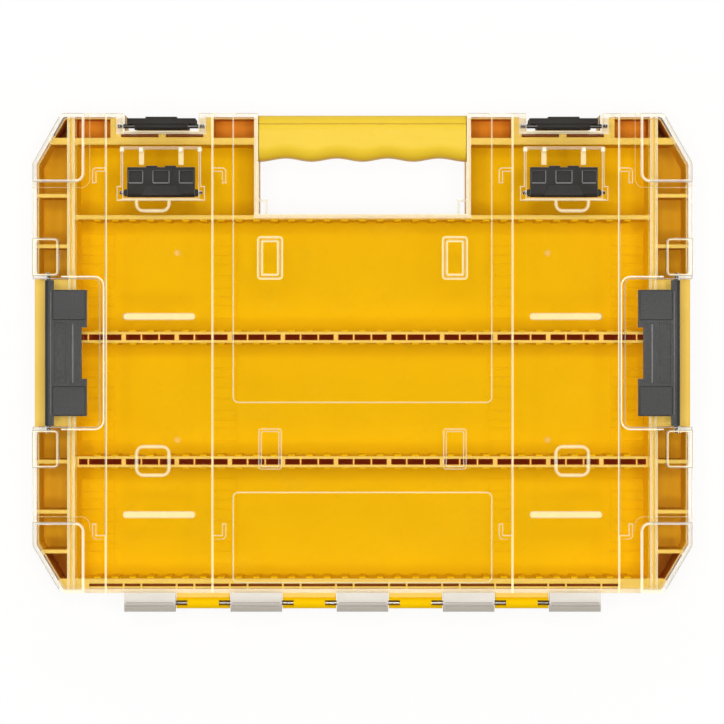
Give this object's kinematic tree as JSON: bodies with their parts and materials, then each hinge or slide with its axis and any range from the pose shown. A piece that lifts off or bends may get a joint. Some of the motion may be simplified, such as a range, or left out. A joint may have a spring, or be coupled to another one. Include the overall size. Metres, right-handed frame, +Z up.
{
  "type": "bit storage case",
  "caption": "Flat carrying case with a clear hinged lid over divided storage rows, a grip handle, front latches and side latches for stacking.",
  "frame": {"origin": "middle of the bounding box, on the surface that the case lies on", "axes": "+X to the right along the hinge, +Y from the hinge towards the handle, +Z up through the lid"},
  "size_m": [0.36, 0.273, 0.065],
  "materials": {
    "yellow_plastic": "satin moulded",
    "clear_plastic": "clear polished",
    "black_plastic": "fine grain",
    "dark_steel": "dark oxide",
    "bright_steel": "drawn"
  },
  "bodies": {
    "base": {"base_tray": "yellow_plastic", "row_divider_lower": "yellow_plastic", "row_divider_upper": "yellow_plastic", "carry_handle": "yellow_plastic", "hinge_rod": "bright_steel"},
    "lid": {"lid": "clear_plastic", "front_latch_pin_left": "dark_steel", "stack_clip_pin_left": "dark_steel", "side_latch_pin_left": "dark_steel", "front_latch_pin_right": "dark_steel", "stack_clip_pin_right": "dark_steel", "side_latch_pin_right": "dark_steel"},
    "front_latch_left": {"front_latch_left": "black_plastic"},
    "stack_clip_left": {"stack_clip_left": "black_plastic"},
    "side_latch_left": {"side_latch_left": "black_plastic"},
    "front_latch_right": {"front_latch_right": "black_plastic"},
    "stack_clip_right": {"stack_clip_right": "black_plastic"},
    "side_latch_right": {"side_latch_right": "black_plastic"}
  },
  "joints": [
    {"name": "lid_hinge", "type": "hinge", "parent": "base", "child": "lid", "pos_m": [0, -0.1316, 0.044], "axis": [1, 0, 0], "range_deg": [0, 180]},
    {"name": "front_latch_swing_left", "type": "hinge", "parent": "lid", "child": "front_latch_left", "pos_m": [-0.11, 0.1295, 0.057], "axis": [1, 0, 0], "range_deg": [0, 90]},
    {"name": "stack_clip_swing_left", "type": "hinge", "parent": "lid", "child": "stack_clip_left", "pos_m": [-0.11, 0.0931, 0.0576], "axis": [1, 0, 0], "range_deg": [0, 90]},
    {"name": "side_latch_swing_left", "type": "hinge", "parent": "lid", "child": "side_latch_left", "pos_m": [-0.1714, 0.0056, 0.059], "axis": [0, -1, 0], "range_deg": [0, 105]},
    {"name": "front_latch_swing_right", "type": "hinge", "parent": "lid", "child": "front_latch_right", "pos_m": [0.11, 0.1295, 0.057], "axis": [1, 0, 0], "range_deg": [0, 90]},
    {"name": "stack_clip_swing_right", "type": "hinge", "parent": "lid", "child": "stack_clip_right", "pos_m": [0.11, 0.0931, 0.0576], "axis": [1, 0, 0], "range_deg": [0, 90]},
    {"name": "side_latch_swing_right", "type": "hinge", "parent": "lid", "child": "side_latch_right", "pos_m": [0.1714, 0.0056, 0.059], "axis": [0, 1, 0], "range_deg": [0, 105]}
  ]
}
